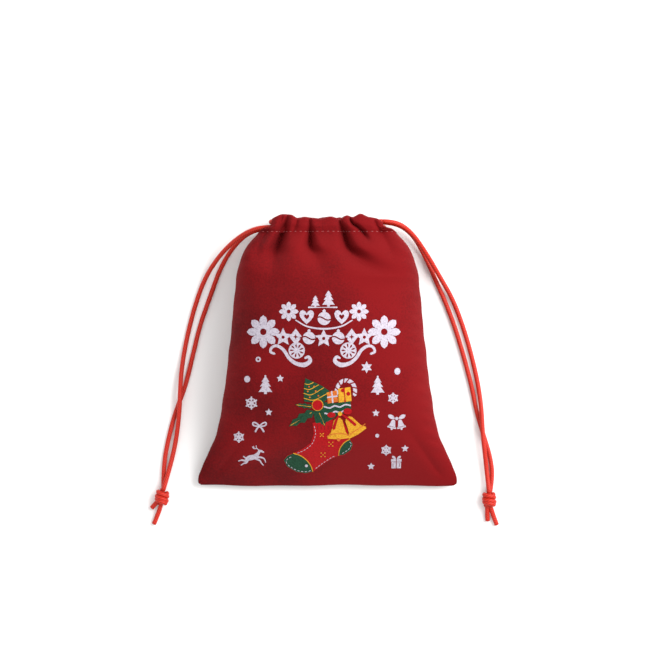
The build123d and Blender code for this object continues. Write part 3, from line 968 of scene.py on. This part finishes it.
def film_ink(name, code, dark_code):
    """Matt transfer film through which the velvet's pile makes a fine mottle, some 1 mm across."""
    material, tree, shader = new_material(name)
    place = add_node(tree, "ShaderNodeTexCoord")
    mottle = add_node(
        tree, "ShaderNodeTexNoise", None,
        {
            "Vector": place.outputs["Object"], "Scale": mottles_per_metre, "Detail": 2.0,
            "Roughness": 0.6,
        },
    )
    shades = add_node(tree, "ShaderNodeValToRGB", None, {"Fac": mottle.outputs["Fac"]})
    shades.color_ramp.elements[0].position = 0.35
    shades.color_ramp.elements[0].color = linear(dark_code)
    shades.color_ramp.elements[1].position = 0.6
    shades.color_ramp.elements[1].color = linear(code)
    relief = add_node(
        tree, "ShaderNodeBump", None,
        {"Height": mottle.outputs["Fac"], "Strength": 0.15, "Distance": 0.0002},
    )
    tree.links.new(shades.outputs[0], shader.inputs["Base Color"])
    tree.links.new(relief.outputs[0], shader.inputs["Normal"])
    shader.inputs["Roughness"].default_value = 0.8
    shader.inputs["Specular IOR Level"].default_value = 0.15
    return material


# Polyurethane transfer film in white: matt, very slightly violet.
white_film = film_ink("white_transfer_film", "#BAB3BE", "#A197A5")
film_lift = 0.16


def white_print(name, node, solids, cuts=()):
    """One white print from its outlines and cut-outs."""
    print_film(name, node, [(white_film, solids, cuts, film_lift)])


tree_profile = (
    (0.0, 0.46), (0.05, 0.42), (0.20, 0.17), (0.11, 0.19), (0.28, -0.07), (0.15, -0.05),
    (0.36, -0.36), (0.22, -0.34), (0.07, -0.36), (0.07, -0.46), (0.0, -0.46),
)
heart_profile = (
    (0.0, 0.22), (0.10, 0.38), (0.26, 0.46), (0.42, 0.40), (0.50, 0.22), (0.45, 0.0), (0.28, -0.24),
    (0.0, -0.5),
)
bell_profile = (
    (0.0, 0.52), (0.10, 0.50), (0.20, 0.38), (0.26, 0.12), (0.34, -0.16), (0.50, -0.34),
    (0.48, -0.42), (0.0, -0.46),
)
leaf_profile = ((0.0, 0.5), (0.14, 0.34), (0.20, 0.12), (0.18, -0.12), (0.10, -0.34), (0.0, -0.5))


def rosette(x, y, size, petals=8, turn=0.0):
    """Flower of drop-shaped petals with a round heart left open: outlines and cut-outs."""
    solids = [ring(x, y, size * 0.24)]
    for number in range(petals):
        angle = turn + 360 * number / petals
        reach = size * 0.33
        cx = x - reach * math.sin(math.radians(angle))
        cy = y + reach * math.cos(math.radians(angle))
        solids.append(
            both_sides(cx, cy, size * 0.42, [(px * 1.5, py) for px, py in leaf_profile], angle)
        )
    return solids, [ring(x, y, size * 0.11, 12)]


def bauble(x, y, size):
    """Round bauble with its cap and a wavy band left open."""
    places = ((-0.6, 0), (-0.25, 0.1), (0.2, -0.1), (0.6, 0))
    wave = bend([(x + size * across, y + size * up) for across, up in places])
    solids = [
        ring(x, y, size * 0.42), ribbon([(x, y + size * 0.38), (x, y + size * 0.52)], size * 0.2),
    ]
    return solids, [ribbon(wave, size * 0.09)]


def lozenge(x, y, size):
    """Lozenge with a small star left open."""
    tall, wide = size * 0.55, size * 0.42
    outline = [(x, y + tall), (x - wide, y), (x, y - tall), (x + wide, y)]
    return [outline], [burst(x, y, size * 0.2, size * 0.07, 4)]


def heart(x, y, size):
    """Heart with a small heart left open."""
    return [both_sides(x, y, size, heart_profile)], [both_sides(x, y, size * 0.36, heart_profile)]


def star(x, y, size):
    """Star with a dot left open."""
    return [burst(x, y, size * 0.56, size * 0.27, 5)], [ring(x, y, size * 0.1, 10)]


def ornaments(row):
    """Outlines and cut-outs of a row of ornaments."""
    solids, cuts = [], []
    for make, x, y, size in row:
        made, open_parts = make(x, y, size)
        solids += made
        cuts += open_parts
    return solids, cuts


# Heading, upper row, between X -27 and 23 mm, a little arched and joined by a thin swag.
solids, cuts = ornaments((
    (rosette, -23.2, 22.8, 11.0), (heart, -12.4, 19.6, 8.8), (bauble, -1.9, 18.6, 9.4),
    (heart, 8.6, 19.6, 8.8), (rosette, 19.0, 22.8, 11.0),
))
solids.append(ribbon(
    bend([(-19.0, 17.6), (-12.0, 13.8), (-2.0, 12.4), (8.0, 13.8), (15.0, 17.6)]),
    (0.7, 1.1, 0.7),
))
solids.append(ribbon([(-11.3, 25.3), (5.8, 25.3)], 0.9))
white_print("title_upper_ornaments", "title_upper_row_print", solids, cuts)

# Heading, lower row, between X -46 and 42 mm, with a large rosette at each end.
solids, cuts = ornaments((
    (rosette, -38.6, 10.6, 18.5), (star, -26.6, 7.4, 10.0), (lozenge, -19.0, 7.6, 9.0),
    (bauble, -11.0, 6.9, 9.0), (star, -2.2, 6.6, 10.0), (bauble, 6.6, 6.9, 9.0),
    (lozenge, 14.6, 7.6, 9.0), (star, 22.2, 7.4, 10.0), (rosette, 34.2, 10.6, 18.5),
))
white_print("title_lower_ornaments", "title_lower_row_print", solids, cuts)

# Curled runners below the heading; their spoked wheels are with the snow crystals.
runner = bend([
    (-31.8, -2.6), (-34.2, -1.4), (-33.4, 1.2), (-30.4, 2.2), (-26.4, -0.2), (-23.0, -5.2),
    (-18.8, -8.4), (-13.8, -9.2), (-10.4, -6.9), (-11.4, -4.4), (-13.4, -5.2),
])
runner_widths = (1.3, 1.5, 1.6, 1.7, 1.9, 2.0, 2.2, 2.8, 2.4, 1.7, 1.2)
left_runner = ribbon(runner, runner_widths)
right_runner = ribbon([(-5.8 - x, y) for x, y in runner], runner_widths)
white_print("curled_runners", "scroll_prints", [left_runner, right_runner])

# Fir trees: two among the small motifs, each with a dot on its tip, and two above the heading.
solids = [both_sides(x, y, height, tree_profile) for x, y, height in (
    (-37.4, -21.6, 11.6), (30.3, -21.9, 11.6), (-7.2, 28.9, 7.4), (0.7, 30.5, 10.4),
)]
solids += [ring(-37.4, -16.0, 0.55, 10), ring(30.3, -16.3, 0.55, 10)]
white_print("fir_trees", "fir_tree_prints", solids)

# Snow crystals, the runners' spoked wheels, and one large frost star.
solids, cuts = [], []
for x, y, size in (
    (39.7, -29.4, 3.4), (-46.0, -32.5, 4.1), (-54.0, -53.5, 3.6), (35.8, -61.5, 3.4),
):
    solids.append(ring(x, y, size * 0.34, 12))
    for number in range(6):
        angle = math.radians(60 * number + 30)
        step = np.array([math.cos(angle), math.sin(angle)])
        side_step = np.array([-step[1], step[0]])
        centre = np.array([x, y])
        solids.append(ribbon([centre, centre + step * size * 0.9], 0.95))
        tip = centre + step * size * 0.62
        solids.append(ribbon([tip - side_step * size * 0.26, tip + side_step * size * 0.26], 0.85))
for x, y in ((-18.4, -0.6), (12.6, -0.6)):
    solids.append(ring(x, y, 4.9, 30))
    for number in range(9):
        angle = 40 * number + 8
        cx = x - 3.0 * math.sin(math.radians(angle))
        cy = y + 3.0 * math.cos(math.radians(angle))
        cuts.append(both_sides(cx, cy, 2.7, [(px * 0.9, py) for px, py in leaf_profile], angle))
solids.append(burst(23.6, -10.7, 3.6, 1.9, 6))
white_print("snow_crystals", "snow_crystal_prints", solids, cuts)

# Small stars, and round flakes, one of them a ring.
small_stars = ((-28.4, -17.5), (-35.5, -38.0), (29.3, -38.5), (47.3, -60.5), (26.7, -71.7))
white_print("small_stars", "star_prints", [burst(x, y, 2.3, 1.15, 5) for x, y in small_stars])
white_print(
    "snow_dots", "dot_prints",
    [
        ring(-48.5, -18.0, 1.8, 18, 1.1), ring(42.2, -13.2, 1.8, 18, 1.15),
        ring(30.2, -52.4, 1.15, 14), ring(-41.7, -6.0, 1.6),
    ],
    [ring(-41.7, -6.0, 0.7, 12)],
)

# Small bow: two loops and two tails.
solids = [ring(-41.2, -46.6, 0.9, 12)]
for side in (-1, 1):
    loop = [(0, 0), (1.6, 1.6), (3.6, 2.3), (4.1, 1.1), (2.6, 0.1), (0, 0)]
    solids.append(ribbon(bend([(-41.2 + side * x, -46.6 + y) for x, y in loop], 4), 0.85))
    tail = [(0, 0), (1.4, -1.4), (2.6, -3.4)]
    solids.append(ribbon(bend([(-41.2 + side * x, -46.6 + y) for x, y in tail], 4), (0.8, 1.1)))
white_print("small_bow", "bow_print", solids)

# Pair of small bells under a bow.
solids, cuts = [], []
for side in (-1, 1):
    cx, turn = 42.0 + side * 2.5, side * 14.0
    solids.append(both_sides(cx, -45.4, 5.6, bell_profile, turn))
    solids.append(ring(cx + side * 0.5, -48.2, 0.7, 10))
    rim_middle, rim_rise = cx + side * 0.4, side * 0.5
    rim = [(rim_middle - 2.0, -46.9 - rim_rise), (rim_middle + 2.0, -46.9 + rim_rise)]
    cuts.append(ribbon(rim, 0.35))
    solids.append(both_sides(
        42.0 + side * 3.2, -40.9, 4.8, [(px * 1.3, py) for px, py in leaf_profile], -side * 62,
    ))
solids.append(ring(42.0, -41.9, 1.0, 12))
white_print("small_bells", "bells_print", solids, cuts)

# Leaping deer, a plain silhouette.
solids = [
    ribbon(
        bend([(-49.6, -67.2), (-47.6, -66.4), (-45.0, -65.8), (-43.2, -64.6)], 5),
        (2.2, 3.2, 3.0, 2.2),
    ),
    ribbon(bend([(-43.6, -65.0), (-42.2, -63.4), (-41.4, -61.8)], 5), (2.6, 1.8, 1.4)),
    ribbon([(-41.8, -61.9), (-40.2, -62.1), (-38.9, -62.8)], (1.5, 1.3, 0.7)),
    ribbon(bend([(-41.8, -61.6), (-43.0, -60.4), (-44.6, -60.6), (-45.8, -59.4)], 4), 0.45),
    ribbon([(-43.2, -60.5), (-43.4, -58.6)], 0.4),
    ribbon([(-44.6, -60.5), (-45.0, -59.0)], 0.4),
    ribbon(
        bend([(-43.8, -66.0), (-40.6, -66.0), (-38.6, -67.0), (-37.8, -69.2)], 4),
        (1.4, 0.9, 0.7, 0.5),
    ),
    ribbon(
        bend([(-44.2, -66.6), (-41.4, -68.0), (-40.6, -69.4), (-39.2, -71.0)], 4),
        (1.4, 0.9, 0.7, 0.5),
    ),
    ribbon(
        bend([(-49.2, -67.6), (-50.6, -68.2), (-52.4, -67.8), (-54.6, -68.4)], 4),
        (1.8, 1.1, 0.8, 0.5),
    ),
    ribbon(
        bend([(-49.0, -67.8), (-49.8, -69.4), (-51.2, -69.8), (-53.0, -71.0)], 4),
        (1.8, 1.1, 0.8, 0.5),
    ),
    ribbon([(-50.2, -66.4), (-51.4, -65.4)], (0.9, 0.5)),
]
white_print("leaping_deer", "deer_print", solids)

# Gift box: lid, body, a bow on top, the ribbon left open.
box_left, box_right, box_foot, lid_foot, lid_top = 38.9, 45.3, -72.9, -68.7, -67.1
solids = [
    [
        (box_left + 0.3, box_foot), (box_right - 0.3, box_foot), (box_right - 0.3, lid_foot - 0.4),
        (box_left + 0.3, lid_foot - 0.4),
    ],
    [(box_left, lid_foot), (box_right, lid_foot), (box_right, lid_top), (box_left, lid_top)],
]
for side in (-1, 1):
    solids.append(both_sides(
        42.1 + side * 1.5, -66.1, 3.0, [(px * 1.2, py) for px, py in leaf_profile], -side * 55,
    ))
cuts = [ribbon([(42.1, box_foot - 1), (42.1, lid_top + 0.2)], 0.5)]
for x in (40.1, 44.1):
    cuts.append(ribbon([(x, box_foot + 1.0), (x, lid_foot - 1.2)], 0.35))
white_print("gift_box", "gift_box_print", solids, cuts)


# ---- prints, stocking ---------------------------------------------------------------------------
# A filled stocking in several colours of the same film, printed as one picture: red leg, green toe,
# heel and cuff, a small tree, two boxes and a cane on top, and a pair of gold bells at its side.
# Each ink lies a few hundredths of a millimetre over the one before it.
red_film = film_ink("red_transfer_film", "#A60A12", "#8E070E")
green_film = film_ink("green_transfer_film", "#1C4530", "#123421")
gold_film = film_ink("gold_transfer_film", "#D29C2A", "#B67B1C")
orange_film = film_ink("orange_transfer_film", "#C66A2A", "#AB5221")
shade_film = film_ink("dark_red_transfer_film", "#7E1016", "#6A0C12")
first_ink, second_ink, third_ink, fourth_ink = 0.14, 0.20, 0.26, 0.32


def dashes(path, length, gap, width):
    """Outlines of short stitches along a line."""
    path = np.array(path, float)
    run = np.concatenate([[0.0], np.cumsum(np.linalg.norm(np.diff(path, axis=0), axis=1))])
    marks = []
    for start in np.arange(gap / 2, run[-1] - length, length + gap):
        ends = [
            (np.interp(at, run, path[:, 0]), np.interp(at, run, path[:, 1]))
            for at in (start, start + length)
        ]
        marks.append(ribbon(ends, width))
    return marks


leg = [
    (-9.1, -44.4), (-8.2, -51.0), (-10.2, -56.8), (-14.6, -60.3), (-20.5, -63.1), (-24.6, -64.7),
    (-26.9, -67.7), (-24.8, -72.0), (-18.8, -75.4), (-13.2, -76.2), (-8.8, -75.0), (-3.3, -70.7),
    (2.2, -66.9), (6.6, -64.9), (10.2, -64.4), (14.3, -61.4), (15.7, -57.4), (13.4, -54.2),
    (12.0, -48.0), (9.0, -43.0), (1.4, -42.7),
]
toe = [
    (-20.7, -63.3), (-24.4, -64.9), (-26.7, -67.7), (-24.7, -71.8), (-18.8, -75.2), (-13.2, -76.0),
    (-9.0, -74.9), (-10.2, -71.2), (-12.6, -67.8), (-16.4, -64.8),
]
heel = [
    (6.8, -64.6), (10.0, -64.2), (14.1, -61.3), (15.5, -57.4), (13.5, -54.6), (10.4, -56.4),
    (7.6, -60.2),
]
toe_line = bend([(-20.7, -63.3), (-16.4, -64.8), (-12.6, -67.8), (-10.2, -71.2), (-9.0, -74.9)])
heel_line = bend([(6.8, -64.6), (7.6, -60.2), (10.4, -56.4), (13.5, -54.6)])
leg_stitches = dashes(
    bend([(-8.0, -46.0), (-7.2, -51.4), (-9.4, -57.4), (-14.0, -61.2), (-19.6, -63.8)]), 1.1, 1.0,
    0.28,
)
leg_stitches += dashes(
    bend([(-7.6, -73.2), (-2.9, -69.6), (2.4, -66.0), (6.0, -64.4)]), 1.1, 1.0, 0.28,
)
leg_stitches += dashes(
    bend([
        (-21.8, -65.2), (-25.2, -67.8), (-23.6, -71.2), (-18.4, -74.2), (-13.2, -75.0),
        (-10.2, -74.2),
    ]),
    1.2, 1.1, 0.3,
)
leg_stitches += dashes(
    bend([(8.6, -63.6), (12.6, -61.0), (14.5, -57.6), (13.2, -55.8)]), 1.2, 1.0, 0.3,
)
flakes = []
for x, y, size in ((2.1, -57.5, 1.9), (-2.7, -64.2, 1.9), (-3.4, -51.8, 1.4)):
    for row in range(3):
        for column in range(3):
            if (row + column) % 2 == 0 or (row, column) == (1, 1):
                cx, cy = x + (column - 1) * size * 0.6, y + (row - 1) * size * 0.6
                flakes.append(ring(cx, cy, 0.34, 8))
print_film("stocking_leg_picture", "stocking_leg_print", [
    (red_film, [leg], [], first_ink),
    (green_film, [toe, heel], [], second_ink),
    (gold_film, [ribbon(toe_line, 0.45), ribbon(heel_line, 0.45), *flakes], [], third_ink),
    (white_film, [*leg_stitches, ring(-12.9, -71.2, 0.9, 10)], [], third_ink),
    (
        shade_film,
        [ribbon([(-6.0 + 2.1 * n, -45.4), (-5.8 + 2.1 * n, -48.2)], (0.2, 0.55)) for n in range(4)],
        [], second_ink,
    ),
])

# Small tree with garlands, hooked cane and two wrapped boxes.
pine = [
    (-13.2, -17.3), (-14.0, -22.0), (-14.2, -26.0), (-14.0, -31.4), (-8.0, -31.9), (-2.0, -31.6),
    (0.9, -29.2), (1.1, -24.9), (-3.4, -21.8), (-8.6, -19.4),
]
garlands = [
    bend([(-13.6, -20.6), (-11.2, -21.0), (-8.4, -19.8)]),
    bend([(-14.0, -23.4), (-10.6, -24.0), (-5.2, -21.2)]),
    bend([(-14.2, -26.4), (-9.6, -27.2), (-2.2, -23.0)]),
    bend([(-14.0, -29.4), (-8.0, -30.4), (0.8, -26.0)]),
]
baubles = [
    (-11.0, -22.4), (-8.0, -22.2), (-11.8, -25.2), (-7.0, -25.0), (-10.6, -28.8), (-5.4, -27.8),
]
cane = bend([
    (3.9, -31.0), (5.2, -27.0), (6.0, -23.0), (8.2, -19.6), (11.6, -18.6), (15.0, -20.2),
    (16.6, -23.6), (16.5, -27.4),
])
cane_steps = np.linspace(2, len(cane) - 3, 9).astype(int)
stripes = []
for place in cane_steps:
    step = cane[place + 1] - cane[place - 1]
    step = step / np.linalg.norm(step)
    across = np.array([-step[1], step[0]])
    slant = across * 1.15 + step * 0.6
    stripes.append(ribbon([cane[place] - slant, cane[place] + slant], 0.75))
left_box = [(-0.4, -25.8), (5.6, -24.6), (6.4, -31.4), (0.2, -32.6)]
right_box = [(6.4, -23.6), (13.8, -22.6), (14.6, -31.0), (6.8, -32.0)]
print_film("stocking_filling_picture", "stocking_filling_print", [
    (white_film, [ribbon(cane, 2.3)], [], first_ink),
    (shade_film, stripes, [], second_ink),
    (green_film, [pine], [], second_ink),
    (gold_film, [ribbon(line, 0.4) for line in garlands], [], third_ink),
    (orange_film, [left_box, *[ring(x, y, 0.5, 8) for x, y in baubles]], [], third_ink),
    (gold_film, [right_box], [], third_ink),
    (
        white_film,
        [ribbon([(2.6, -25.2), (3.3, -32.0)], 0.9), ribbon([(0.0, -28.8), (6.0, -28.0)], 0.9)], [],
        fourth_ink,
    ),
    (red_film, [
        ribbon([(10.0, -23.2), (10.7, -31.4)], 0.9),
        ring(9.2, -24.6, 1.1, 10),
        ring(12.6, -26.6, 1.2, 10),
    ], [], fourth_ink),
])

# Cuff with two white waves, holly leaves and a berry.
cuff = [
    (-2.4, -31.6), (4.0, -32.4), (13.9, -31.0), (14.5, -37.4), (7.0, -39.4), (0.3, -43.6),
    (-7.0, -44.6), (-8.6, -38.0),
]
waves = [
    bend([(-2.0, -34.4), (1.4, -35.2), (4.4, -33.9), (7.6, -34.6), (10.8, -33.2), (14.0, -33.8)]),
    bend([(-1.6, -38.4), (1.8, -39.0), (4.6, -37.4), (7.8, -37.9), (11.0, -36.4), (14.3, -36.8)]),
]


def holly_leaf(start, end, width):
    """Leaf with three spines on each side, from its stalk to its tip: outline and midrib."""
    start, end = np.array(start, float), np.array(end, float)
    run = end - start
    across = np.array([-run[1], run[0]]) / np.linalg.norm(run) * width
    shape = (
        (0.0, 0.1), (0.16, 0.9), (0.30, 0.55), (0.46, 1.0), (0.60, 0.5), (0.76, 0.7), (0.86, 0.3),
        (1.0, 0.0),
    )
    outline = [start + run * along + across * out for along, out in shape]
    outline += [start + run * along - across * out for along, out in shape[::-1][1:]]
    return [tuple(point) for point in outline], ribbon(
        [start + run * 0.08, start + run * 0.92], 0.35,
    )


leaves, ribs = zip(
    holly_leaf((-8.4, -37.2), (-23.4, -46.6), 3.2),
    holly_leaf((-9.0, -34.6), (-19.4, -33.2), 1.6),
    holly_leaf((-5.2, -37.6), (-1.4, -46.4), 2.5),
)
print_film("stocking_cuff_picture", "stocking_cuff_print", [
    (green_film, [cuff], [], second_ink),
    (white_film, [ribbon(line, 0.9) for line in waves], [], third_ink),
    (gold_film, [ring(-5.9, -33.5, 3.5, 20)], [], third_ink),
    (green_film, list(leaves), [], third_ink + 0.03),
    (red_film, [ring(-5.9, -33.5, 3.1, 20)], [], fourth_ink + 0.06),
    (gold_film, list(ribs), [], fourth_ink),
])

# Two gold bells tied with a red ribbon.
large_bell = both_sides(6.6, -48.2, 13.4, bell_profile, 1.0)
tilted_bell = both_sides(15.6, -46.4, 12.6, bell_profile, 32.0)
large_rim = bend([(-0.2, -52.6), (3.0, -51.2), (7.0, -50.9), (11.0, -51.2), (13.4, -52.4)])
tilted_rim = bend([(13.4, -51.4), (16.4, -49.4), (19.4, -47.4), (22.8, -45.0)])
loops = [
    ring(2.4, -39.4, 2.5, 16, 0.62), ring(12.2, -37.2, 2.6, 16, 0.7),
    ribbon(bend([(7.2, -39.0), (5.4, -42.6), (3.8, -47.8)]), (1.0, 1.8)),
    ribbon(bend([(8.4, -38.8), (12.6, -41.8), (16.8, -45.4)]), (1.0, 1.7)),
]
print_film("stocking_bells_picture", "stocking_bells_print", [
    (gold_film, [tilted_bell], [], fourth_ink + 0.06),
    (orange_film, [ribbon(tilted_rim, 0.5)], [], fourth_ink + 0.10),
    (gold_film, [large_bell], [], fourth_ink + 0.12),
    (orange_film, [ribbon(large_rim, 0.5), ring(6.8, -54.6, 1.0, 10)], [], fourth_ink + 0.17),
    (red_film, loops, [], fourth_ink + 0.22),
    (gold_film, [ring(7.6, -38.6, 1.3, 12)], [], fourth_ink + 0.27),
])


# ---- floor and light ----------------------------------------------------------------------------
# Plain white paper under the sack, a large soft lamp high on the right, a faint one on the left,
# and a bright white room around them.
floor_mesh = bpy.data.meshes.new("floor")
reach = 3.0
floor_mesh.from_pydata(
    [
        (-reach, -reach, 0), (reach, -reach, 0), (reach, reach, 0), (-reach, reach, 0),
    ], [], [(0, 1, 2, 3)]
)
floor = bpy.data.objects.new("floor", floor_mesh)
bpy.context.scene.collection.objects.link(floor)
# Matt white paper: even, with no gloss.
paper, _, shader = new_material("white_paper")
shader.inputs["Base Color"].default_value = linear("#F4F4F3")
shader.inputs["Roughness"].default_value = 0.9
floor_mesh.materials.append(paper)


sack_middle = (0, 0, 0.03)


def soft_box(name, place, size, power):
    """Large square lamp aimed at the middle of the sack."""
    data = bpy.data.lights.new(name, "AREA")
    data.shape = "SQUARE"
    data.size = size
    data.energy = power
    lamp = bpy.data.objects.new(name, data)
    lamp.location = place
    aim = Vector(sack_middle) - Vector(place)
    lamp.rotation_euler = aim.to_track_quat("-Z", "Y").to_euler()
    bpy.context.scene.collection.objects.link(lamp)


soft_box("key_right", place=(1.0, 0.55, 1.1), size=1.1, power=32.0)
soft_box("fill_left", place=(-0.6, -0.5, 1.5), size=1.2, power=3.0)
world = bpy.data.worlds.new("studio")
bpy.context.scene.world = world
world.use_nodes = True
room = world.node_tree.nodes["Background"]
room.inputs["Color"].default_value = (1, 1, 1, 1)
room.inputs["Strength"].default_value = 0.9
